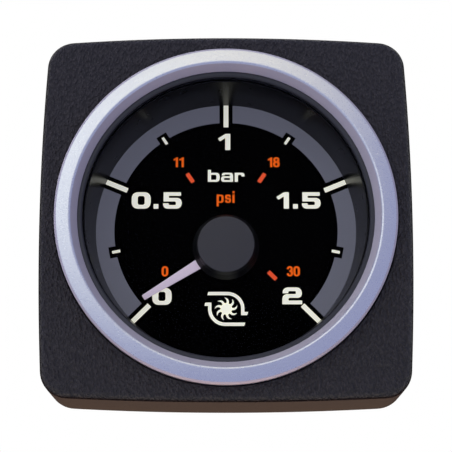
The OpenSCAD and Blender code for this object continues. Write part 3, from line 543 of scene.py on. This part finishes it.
# Ticks: five long and four short ones for the main scale, and four orange ones for the inner scale. Each kind
# is one printed bar, copied round the middle of the dial.
def around_tree():
    """Geometry Nodes that copy a mesh round a centre, on an axis along the depth."""
    tree = bpy.data.node_groups.new("copies round a centre", "GeometryNodeTree")
    for name, kind in (("Geometry", "NodeSocketGeometry"), ("Count", "NodeSocketInt"),
                       ("First Angle", "NodeSocketFloat"), ("Step", "NodeSocketFloat"),
                       ("Centre", "NodeSocketVector"), ("Ink", "NodeSocketMaterial")):
        tree.interface.new_socket(name, in_out="INPUT", socket_type=kind)
    tree.interface.new_socket("Geometry", in_out="OUTPUT", socket_type="NodeSocketGeometry")
    given = add(tree, "NodeGroupInput").outputs
    index = add(tree, "GeometryNodeInputIndex")
    turns = add(tree, "ShaderNodeMath", {0: index.outputs[0], 1: given["Step"], 2: given["First Angle"]},
                operation="MULTIPLY_ADD")
    turn = add(tree, "FunctionNodeAxisAngleToRotation", {"Axis": (0, 1, 0), "Angle": turns.outputs[0]})
    back = add(tree, "ShaderNodeVectorMath", {0: given["Centre"], "Scale": -1.0}, operation="SCALE")
    one = add(tree, "GeometryNodeTransform", {"Geometry": given["Geometry"], "Translation": back.outputs[0]})
    spots = add(tree, "GeometryNodePoints", {"Count": given["Count"], "Position": given["Centre"]})
    copies = add(tree, "GeometryNodeInstanceOnPoints",
                 {"Points": spots.outputs[0], "Instance": one.outputs[0], "Rotation": turn.outputs[0]})
    real = add(tree, "GeometryNodeRealizeInstances", {"Geometry": copies.outputs[0]})
    inked = add(tree, "GeometryNodeSetMaterial", {"Geometry": real.outputs[0], "Material": given["Ink"]})
    add(tree, "NodeGroupOutput", {"Geometry": inked.outputs[0]})
    return tree


around = around_tree()


def copy_around(piece, count, first, step, material, centre=(0, 0)):
    """Copies a piece round a centre, by angles in degrees, and leaves a plain mesh."""
    repeat = piece.modifiers.new("copies", "NODES")
    repeat.node_group = around
    values = {"Count": count, "First Angle": math.radians(first), "Step": math.radians(step),
              "Centre": (centre[0] * mm, 0, centre[1] * mm), "Ink": material}
    for socket in around.interface.items_tree:
        if socket.in_out == "INPUT" and socket.name in values:
            repeat[socket.identifier] = values[socket.name]
    return settle(piece)


def tick(name, radius, length, width):
    """One printed bar at the top of the dial, about a middle radius."""
    low, high, half = radius - length / 2, radius + length / 2, width / 2
    return plate(name, [[[(-half, low), (half, low), (half, high), (-half, high)]]], ink_front, dial_depth)


# Cream ink for the main scale, orange for the inner numerals and a redder one for the inner ticks: opaque and
# matt, with a painted glow that makes them look even from every side
cream = ink("cream ink", "#EEEDD8", 0.62)
orange = ink("orange ink", "#EE6000", 0.5)
red_orange = ink("red-orange ink", "#E65228", 0.55)
long_ticks = copy_around(tick("long_ticks", 21.86, 4.35, 0.9), 5, -135, tick_step, cream)
fit(long_ticks, cream, "case", "printed_dial")
short_ticks = copy_around(tick("short_ticks", 20.5, 1.5, 0.51), 4, -101.25, tick_step, cream)
fit(short_ticks, cream, "case", "printed_dial")
outer_pair = copy_around(tick("inner_ticks_ends", 11.95, 2.0, 0.74), 2, -135, 270, red_orange)
fit(outer_pair, red_orange, "case", "printed_dial")
inner_pair = copy_around(tick("inner_ticks_middle", 11.95, 2.0, 0.74), 2, -33.75, tick_step, red_orange)
fit(inner_pair, red_orange, "case", "printed_dial")

# Numerals: plain figures in a wide bold face for the main scale and a narrow one for the inner scale, printed
# in the same inks. Each figure is drawn as corners (x, z, rounding) in millimetres from its lower left.
wide = {
    "0": [[(0, 0, 1.1), (3.5, 0, 1.1), (3.5, 3.1, 1.1), (0, 3.1, 1.1)],
          [(1.1, 0.7, 0.4), (2.4, 0.7, 0.4), (2.4, 2.4, 0.4), (1.1, 2.4, 0.4)]],
    "1": [[(1.36, 0, 0), (2.3, 0, 0), (2.3, 3.1, 0), (1.4, 3.1, 0), (0, 2.2, 0), (0.38, 1.68, 0),
           (1.36, 2.3, 0)]],
    "2": [[(0, 0, 0), (3.6, 0, 0), (3.6, 0.68, 0), (1.12, 0.68, 0.1), (1.12, 1.2, 0.25), (3.55, 1.2, 0.7),
           (3.55, 3.1, 0.95), (0.05, 3.1, 0.95), (0.05, 2.02, 0), (1.1, 2.02, 0), (1.1, 2.44, 0.2),
           (2.48, 2.44, 0.2), (2.48, 1.86, 0.2), (0, 1.86, 0.85)]],
    "5": [[(0, 0, 0.85), (3.45, 0, 0.95), (3.45, 2.02, 0.85), (1.08, 2.02, 0), (1.08, 2.44, 0),
           (3.3, 2.44, 0), (3.3, 3.1, 0), (0.1, 3.1, 0), (0.1, 1.36, 0), (2.38, 1.36, 0.2), (2.38, 0.66, 0.2),
           (1.05, 0.66, 0.15), (1.05, 1.0, 0), (0, 1.0, 0)]],
    ".": [[(0, 0, 0), (0.88, 0, 0), (0.88, 0.85, 0), (0, 0.85, 0)]],
    "b": [[(0, 0, 0), (2.17, 0, 0.6), (2.17, 1.72, 0.6), (0.56, 1.72, 0), (0.56, 2.27, 0), (0, 2.27, 0)],
          [(0.58, 0.37, 0.12), (1.58, 0.37, 0.24), (1.58, 1.35, 0.24), (0.58, 1.35, 0.12)]],
    "a": [[(0, 0, 0.42), (2.2, 0, 0), (2.2, 1.72, 0.5), (0.12, 1.72, 0.45), (0.12, 1.22, 0), (0.66, 1.22, 0),
           (0.66, 1.4, 0.05), (1.62, 1.4, 0.12), (1.62, 1.05, 0), (0, 1.05, 0.42)],
          [(0.56, 0.32, 0.1), (1.62, 0.32, 0.05), (1.62, 0.74, 0.05), (0.56, 0.74, 0.1)]],
    "r": [[(0, 0, 0), (0.57, 0, 0), (0.57, 1.34, 0.3), (1.24, 1.34, 0.1), (1.24, 1.02, 0), (1.8, 1.02, 0),
           (1.8, 1.72, 0.45), (0, 1.72, 0)]],
}
narrow = {
    "0": [[(0, 0, 0.58), (1.2, 0, 0.58), (1.2, 1.9, 0.58), (0, 1.9, 0.58)],
          [(0.4, 0.33, 0.19), (0.8, 0.33, 0.19), (0.8, 1.57, 0.19), (0.4, 1.57, 0.19)]],
    "1": [[(0.44, 0, 0), (0.84, 0, 0), (0.84, 1.88, 0), (0.52, 1.88, 0), (0.34, 1.66, 0.1), (0, 1.56, 0),
           (0, 1.28, 0), (0.44, 1.36, 0)]],
    "3": [[(0.56, 0, 0.3), (1.12, 0, 0.5), (1.12, 0.98, 0.26), (0.98, 0.98, 0), (1.08, 1.0, 0.1),
           (1.08, 1.9, 0.48), (0.02, 1.9, 0.5), (0.02, 1.35, 0), (0.4, 1.35, 0), (0.4, 1.6, 0.12),
           (0.7, 1.6, 0.12), (0.7, 1.12, 0.12), (0.45, 1.12, 0), (0.45, 0.84, 0), (0.72, 0.84, 0.12),
           (0.72, 0.3, 0.14), (0.4, 0.3, 0.12), (0.4, 0.58, 0), (0, 0.58, 0), (0, 0, 0.5)]],
    "8": [[(0, 0, 0.5), (1.24, 0, 0.5), (1.24, 0.92, 0.28), (1.0, 1.02, 0.02), (1.18, 1.12, 0.2),
           (1.18, 1.9, 0.46), (0.06, 1.9, 0.46), (0.06, 1.12, 0.2), (0.24, 1.02, 0.02), (0, 0.92, 0.28)],
          [(0.42, 0.32, 0.16), (0.82, 0.32, 0.16), (0.82, 0.8, 0.16), (0.42, 0.8, 0.16)],
          [(0.44, 1.2, 0.14), (0.8, 1.2, 0.14), (0.8, 1.58, 0.14), (0.44, 1.58, 0.14)]],
    "p": [[(0, -0.66, 0), (0.38, -0.66, 0), (0.38, 0.02, 0), (1.28, 0, 0.45), (1.28, 1.56, 0.45),
           (0.38, 1.54, 0), (0.38, 1.56, 0), (0, 1.56, 0)],
          [(0.4, 0.28, 0.12), (0.88, 0.28, 0.18), (0.88, 1.28, 0.18), (0.4, 1.28, 0.12)]],
    "s": [[(0, 0, 0.42), (1.14, 0, 0.42), (1.14, 0.9, 0.36), (0.4, 0.98, 0.1), (0.4, 1.27, 0.1),
           (0.74, 1.27, 0.1), (0.74, 1.08, 0), (1.1, 1.08, 0), (1.1, 1.56, 0.38), (0.03, 1.56, 0.38),
           (0.03, 0.68, 0.34), (0.76, 0.6, 0.1), (0.76, 0.28, 0.1), (0.4, 0.28, 0.1), (0.4, 0.5, 0),
           (0, 0.5, 0)]],
    "i": [[(0, 0, 0), (0.38, 0, 0), (0.38, 1.56, 0), (0, 1.56, 0)]],
    "dot": [[(0, 1.84, 0), (0.38, 1.84, 0), (0.38, 2.2, 0), (0, 2.2, 0)]],
}


def figures(name, face, placed, material):
    """Prints figures of one face, each at its lower left corner."""
    shapes = [[[(x + px, z + pz) for px, pz in rounded(loop, 5)] for loop in face[figure]]
              for figure, x, z in placed]
    piece = plate(name, shapes, ink_front, dial_depth)
    fit(piece, material, "case", "printed_dial")


figures("main_numerals", wide, [
    ("1", -1.5, 15.3), ("0", -17.4, 4.1), (".", -13.35, 4.1), ("5", -11.62, 4.1), ("1", 9.3, 4.1),
    (".", 12.36, 4.1), ("5", 14.0, 4.1), ("0", -13.4, -13.85), ("2", 10.25, -13.75)], cream)
figures("main_unit", wide, [("b", -3.35, 9.2), ("a", -0.9, 9.2), ("r", 1.62, 9.2)], cream)
figures("inner_numerals", narrow, [
    ("1", -9.75, 12.0), ("1", -8.67, 12.0), ("1", 7.75, 12.0), ("8", 8.72, 12.0), ("0", -11.75, -8.6),
    ("3", 11.1, -8.6), ("0", 12.3, -8.6)], orange)
figures("inner_unit", narrow, [("p", -1.72, 5.2), ("s", -0.2, 5.2), ("i", 1.2, 5.2), ("dot", 1.2, 5.2)],
        orange)

# Turbocharger symbol: the plain sign for boost, a wheel with nine curved blades between the two walls of a
# volute. The blades are one blade copied round the wheel.
wheel_x, wheel_z = 0.05, -14.6
wall = rounded([(-3.25, 3.12, 0), (3.3, 3.12, 3.1), (3.3, -0.56, 0), (3.97, -0.56, 0), (3.8, -1.15, 0),
                (2.7, -1.15, 0), (2.7, 2.52, 2.5), (-3.45, 2.52, 0)], 16)
walls = [[[(wheel_x + s * x, wheel_z + s * z) for x, z in wall]] for s in (1, -1)]
volute = plate("symbol_volute", walls + [[arc(wheel_x, wheel_z, 1.06, 0, 360, 48)[:-1]]], ink_front,
               dial_depth)
fit(volute, cream, "case", "printed_dial")
blade = [(-0.1, 0.95), (0.36, 0.95), (0.38, 1.3), (0.32, 1.6), (0.14, 1.84), (-0.14, 1.99), (-0.5, 2.05),
         (-0.22, 1.84), (-0.06, 1.6), (-0.02, 1.3)]
blades = plate("symbol_blades", [[[(wheel_x + x, wheel_z + z) for x, z in blade]]], ink_front, dial_depth)
copy_around(blades, 9, 4, 40, cream, (wheel_x, wheel_z))
fit(blades, cream, "case", "printed_dial")


# Pointer: a slim tapered blade stamped from thin sheet and sprayed a pale matt grey. Its hub is a disc under
# the cap, and it turns on its shaft below the middle of the scale.
pivot_z, pointer_front, pointer_back, pointer_rest = -3.6, 11.2, 11.6, math.radians(211.9)
pointer_length, root_half, tip_half, hub_radius, cap_foot, shaft_radius = 17.6, 0.9, 0.465, 3.6, 6.05, 0.6
tip_round, blade_edge = 0.08, 0.05


def swing(points):
    """Turns points of the pointer to its rest direction about the pivot."""
    c, s = math.cos(pointer_rest), math.sin(pointer_rest)
    return [(x * c - z * s, pivot_z + x * s + z * c) for x, z in points]


root_angle = edge_angle(hub_radius, root_half)
blade_outline = arc(0, 0, hub_radius, root_angle, 360 - root_angle, 60)
blade_outline += rounded([(cap_foot, -root_half, 0), (pointer_length, -tip_half, tip_round),
                          (pointer_length, tip_half, tip_round), (cap_foot, root_half, 0)], 4)
needle = plate("needle", [[swing(blade_outline), swing(arc(0, 0, shaft_radius, 360, 0, 32)[:-1])]],
               pointer_front, pointer_back)
soften = needle.modifiers.new("edge", "BEVEL")
soften.width, soften.segments = blade_edge * mm, 2
soften.limit_method, soften.angle_limit = "ANGLE", math.radians(60)
settle(needle)

# Pale lacquer, sprayed matt with a fine orange peel, so that the blade shows without a glint. It glows a
# little in its own colour, as painted light
paint, tree, shader = finish("matt pointer lacquer", "#CDBDCB", roughness=0.55, specular=0.3, emission=0.4)
shader.inputs["Emission Color"].default_value = tint("#CDBDCB")
place = add(tree, "ShaderNodeTexCoord").outputs["Object"]
peel = speckle(tree, place, 0.3, 3.0)
shade = blend(tree, peel.outputs["Fac"], "#C8B8C6", "#D2C2D0")
emboss(tree, shader, peel.outputs["Fac"], 0.006)
tree.links.new(shade.outputs["Result"], shader.inputs["Base Color"])
fit(needle, paint, "pointer", "pointer_paint", "pointer")


# Hub cap: a turned-looking moulding of black ABS, pressed over the pointer's hub. Its flat top has a fine
# spark-eroded texture, and its smooth side flares out to the foot.
cap_front, cap_top, cap_rise, cap_skin = 8.45, 5.15, 2.75, 0.9
top_round, side_flare, side_round, top_band = 0.2, 0.25, 0.6, 0.15
cap = turned("needle_cap", rounded([
    (0.0, cap_front, 0), (cap_top, cap_front, top_round),
    (cap_top + side_flare, cap_front + cap_rise / 2, side_round),
    (cap_foot, pointer_front, 0), (shaft_radius, pointer_front, 0), (shaft_radius, cap_front + cap_skin, 0),
    (0.0, cap_front + cap_skin, 0)], 8), (0, pivot_z), 160)

# Black ABS from an eroded mould with a fine texture: the top is painted grey, a painted sheen, and the
# smooth side nearly black, as painted shade
cap_plastic, tree, shader = finish("fine-textured black ABS", "#2C2B30", roughness=0.5, specular=0.4)
place = add(tree, "ShaderNodeTexCoord").outputs["Object"]
erosion = speckle(tree, place, 0.22, 4.0, Roughness=0.7)
depth = add(tree, "ShaderNodeSeparateXYZ", {"Vector": place})
top = add(tree, "ShaderNodeMath", {0: depth.outputs["Y"], 1: (cap_front + top_band - surround_depth) * mm},
          operation="LESS_THAN")
shade = blend(tree, top.outputs[0], "#08090B", "#413F40")
emboss(tree, shader, erosion.outputs["Fac"], 0.012)
tree.links.new(shade.outputs["Result"], shader.inputs["Base Color"])
fit(cap, cap_plastic, "pointer", "hub_plastic", "hub_cap")


# Movement: brass plates, gears and bushes, steel pivots and screws, a blued hairspring and a drawn bronze
# tube that uncurls under pressure and pulls the link.
def metal(name, dark, light, roughness, grain, stretch=(1, 1, 1)):
    """Bare or plated metal with fine marks of its making, a given grain in millimetres apart."""
    material, tree, shader = finish(name, light, metallic=1, roughness=roughness)
    place = add(tree, "ShaderNodeTexCoord").outputs["Object"]
    lay = add(tree, "ShaderNodeMapping", {"Vector": place, "Scale": stretch})
    marks = speckle(tree, lay.outputs[0], grain, 4.0)
    shade = blend(tree, marks.outputs["Fac"], dark, light)
    haze = add(tree, "ShaderNodeMapRange", {"Value": marks.outputs["Fac"], "To Min": roughness - 0.08,
                                            "To Max": roughness + 0.08})
    emboss(tree, shader, marks.outputs["Fac"], 0.01, 0.6)
    tree.links.new(shade.outputs["Result"], shader.inputs["Base Color"])
    tree.links.new(haze.outputs[0], shader.inputs["Roughness"])
    return material


# Fine marks that run round the axis, as from turning, break up the highlights of brass and steel. The
# hairspring shows its tempered blue, and the drawn tube the red-brown of bronze
brass = metal("machined brass", "#A98F5C", "#D0B985", 0.3, 0.4, (1, 6, 1))
steel = metal("turned steel", "#9A9DA2", "#C4C6CA", 0.28, 0.3, (1, 6, 1))
blued = metal("blued spring steel", "#3A4560", "#5A6A92", 0.25, 0.3)
bronze = metal("drawn bronze tube", "#8E5A32", "#B97F4E", 0.32, 0.6)
dress(brass, "pinion", "hairspring_collet", "sector_gear", "link", "tube_tip", "front_plate", "rear_plate",
      "pivot_bushes")
dress(steel, "pointer_shaft", "hairspring_stud", "sector_arbor", "tail_pin", "tip_pin", "pillars",
      "pillar_screws", "plate_screws", "restrictor")
dress(blued, "hairspring")
dress(bronze, "bourdon_tube")


# Case: a deep-drawn steel can with a baked black lacquer, and the white moulded sleeve inside it that carries
# the dial and spreads the lamps' light behind it.
def coat(name, dark, light, roughness, grain, depth, specular=0.5):
    """Paint or moulded plastic with a fine uneven surface, a given grain in millimetres apart."""
    material, tree, shader = finish(name, light, roughness=roughness, specular=specular)
    place = add(tree, "ShaderNodeTexCoord").outputs["Object"]
    peel = speckle(tree, place, grain, 3.0)
    shade = blend(tree, peel.outputs["Fac"], dark, light)
    emboss(tree, shader, peel.outputs["Fac"], depth)
    tree.links.new(shade.outputs["Result"], shader.inputs["Base Color"])
    return material


# The lacquer gives the can a soft sheen, the sleeve's plastic is a clean white, and the fibre washer between
# the socket and the floor of the can is a dull red
dress(coat("baked black lacquer", "#1B1C1F", "#26272B", 0.35, 0.8, 0.02), "case_can")
dress(coat("white polypropylene", "#DEDED8", "#EEEEE8", 0.45, 1.5, 0.02), "light_sleeve")
dress(coat("red fibre", "#6E2E22", "#93402F", 0.75, 0.5, 0.02, 0.3), "stem_seal")

# Fixings: a bent strip, washers and a hexagon nut in zinc-plated steel, and knurled brass nuts turned by
# hand, pull the gauge against the surround.

# Zinc plating: a pale grey with wide soft mottles, duller than the bezel
zinc = metal("zinc-plated steel", "#9FA6AD", "#C9CED4", 0.36, 1.2)
dress(zinc, "clamp_bracket", "stud_washers", "stem_lockwasher", "stem_nut", "earth_rivet")
dress(brass, "knurled_nuts", "earth_tab")


# Studs: two M4 studs of zinc-plated steel with a rolled thread, riveted in the back of the can by their
# heads. The thread is a ridge that winds round the core of the stud.
def thread_tree():
    """Geometry Nodes for the ridge of a thread that winds rearward round an axis along the depth."""
    tree = bpy.data.node_groups.new("thread ridge", "GeometryNodeTree")
    for name, kind in (("Core Radius", "NodeSocketFloat"), ("Pitch", "NodeSocketFloat"),
                       ("Turns", "NodeSocketFloat"), ("Start", "NodeSocketVector"),
                       ("Metal", "NodeSocketMaterial")):
        tree.interface.new_socket(name, in_out="INPUT", socket_type=kind)
    tree.interface.new_socket("Geometry", in_out="OUTPUT", socket_type="NodeSocketGeometry")
    given = add(tree, "NodeGroupInput").outputs
    rise = add(tree, "ShaderNodeMath", {0: given["Pitch"], 1: given["Turns"]}, operation="MULTIPLY")
    half = add(tree, "ShaderNodeMath", {0: given["Pitch"], 1: 0.5}, operation="MULTIPLY")
    path = add(tree, "GeometryNodeCurveSpiral", {
        "Resolution": 28, "Rotations": given["Turns"], "Start Radius": given["Core Radius"],
        "End Radius": given["Core Radius"], "Height": rise.outputs[0]})
    upright = add(tree, "GeometryNodeSetCurveNormal", {"Curve": path.outputs[0]}, mode="Z_UP")
    section = add(tree, "GeometryNodeCurvePrimitiveCircle", {"Resolution": 4, "Radius": half.outputs[0]})
    ridge = add(tree, "GeometryNodeCurveToMesh",
                {"Curve": upright.outputs[0], "Profile Curve": section.outputs[0], "Fill Caps": True})
    laid = add(tree, "GeometryNodeTransform", {"Geometry": ridge.outputs[0], "Rotation": (-math.pi / 2, 0, 0),
                                               "Translation": given["Start"]})
    plated = add(tree, "GeometryNodeSetMaterial", {"Geometry": laid.outputs[0], "Material": given["Metal"]})
    add(tree, "NodeGroupOutput", {"Geometry": plated.outputs[0]})
    return tree


winding = thread_tree()


def thread(name, x, radius, pitch, front, back, material):
    """Ridge of a thread with its crest at a radius, between two depths."""
    piece = bpy.data.objects.new(name, bpy.data.meshes.new(name))
    scene.collection.objects.link(piece)
    ridge = piece.modifiers.new("ridge", "NODES")
    ridge.node_group = winding
    values = {"Core Radius": (radius - pitch / 2) * mm, "Pitch": pitch * mm, "Turns": (back - front) / pitch,
              "Start": (x * mm, (front - surround_depth) * mm, 0), "Metal": material}
    for socket in winding.interface.items_tree:
        if socket.in_out == "INPUT":
            ridge[socket.identifier] = values[socket.name]
    return settle(piece)


def joined(name, pieces):
    """One piece from several meshes that touch."""
    shape, mesh = bmesh.new(), bpy.data.meshes.new(name)
    for piece in pieces:
        shape.from_mesh(piece.data)
        bpy.data.objects.remove(piece)
    bmesh.ops.recalc_face_normals(shape, faces=shape.faces)
    shape.to_mesh(mesh)
    shape.free()
    whole = bpy.data.objects.new(name, mesh)
    scene.collection.objects.link(whole)
    return whole


stud_place, stud_radius, stud_pitch, stud_head, tip_chamfer = 17.0, 2.0, 0.7, 3.0, 0.35
stud_front, head_back, shank_back, core_front, thread_start, stud_back = 42.6, 43.4, 45.0, 45.3, 45.6, 60.0
stud_core = stud_radius - stud_pitch / 2
stud_profile = [(0, stud_front), (stud_head, stud_front), (stud_head, head_back), (stud_radius, head_back),
                (stud_radius, shank_back), (stud_core, core_front), (stud_core, stud_back - tip_chamfer),
                (stud_core - tip_chamfer, stud_back), (0, stud_back)]
pieces = []
for x in (-stud_place, stud_place):
    pieces.append(turned("stud_core", stud_profile, (x, 0), 64))
    pieces.append(thread("stud_thread", x, stud_radius, stud_pitch, thread_start, stud_back - stud_pitch,
                         zinc))
fit(joined("studs", pieces), zinc, "case", "zinc_steel", "clamp_studs")


# Pressure socket: a machined brass block whose stem comes out of the back with an M10 x 1 thread. The block
# is the CAD's own shape, with the stem turned down to the thread's core and the ridge wound round it.
stem_radius, stem_pitch, thread_front, thread_back = 5.0, 1.0, 52.5, 61.4
room_shift, room_width, ridge_start, ridge_stop = 0.1, 1, 0.5, 0.6
source = nodes["pressure_socket"]
socket = bpy.data.objects.new("socket_block", source.data.copy())
scene.collection.objects.link(socket)
shape = bmesh.new()
shape.from_mesh(socket.data)
bmesh.ops.remove_doubles(shape, verts=shape.verts, dist=weld)
bmesh.ops.recalc_face_normals(shape, faces=shape.faces)
shape.to_mesh(socket.data)
shape.free()
core = stem_radius - stem_pitch / 2
room_radius = stem_radius + room_width
room_front, room_back = thread_front - room_shift, thread_back - room_shift
sleeve = turned("thread_room", [(core, room_front), (room_radius, room_front), (room_radius, room_back),
                                (core, room_back)], (0, 0), 96)
carve(socket, sleeve)
ridge = thread("stem_thread", 0, stem_radius, stem_pitch, thread_front + ridge_start,
               thread_back - ridge_stop, brass)
fit(joined("stem_and_block", [socket, ridge]), brass, "case", "brass", "pressure_socket")

# Lamps: two bulbs in bayonet holders of black nylon, which turn into the back of the case. Brass blades take
# the leads.

# Nylon with a dull skin, a shade darker than the lacquered can, so that the holders stand out from it
dress(coat("black nylon", "#141416", "#202024", 0.5, 0.6, 0.015), "lamp_holders")

# Thin clear glass: its middle is seen through, and its rim catches the light
bulb, tree, shader = finish("bulb glass", "#E8E4D2", roughness=0.05, specular=0.5)
facing = add(tree, "ShaderNodeLayerWeight", {"Blend": 0.4})
veil = add(tree, "ShaderNodeMapRange", {"Value": facing.outputs["Fresnel"], "To Min": 0.25, "To Max": 0.8})
tree.links.new(veil.outputs[0], shader.inputs["Alpha"])
dress(bulb, "bulbs")
dress(brass, "lamp_blades")
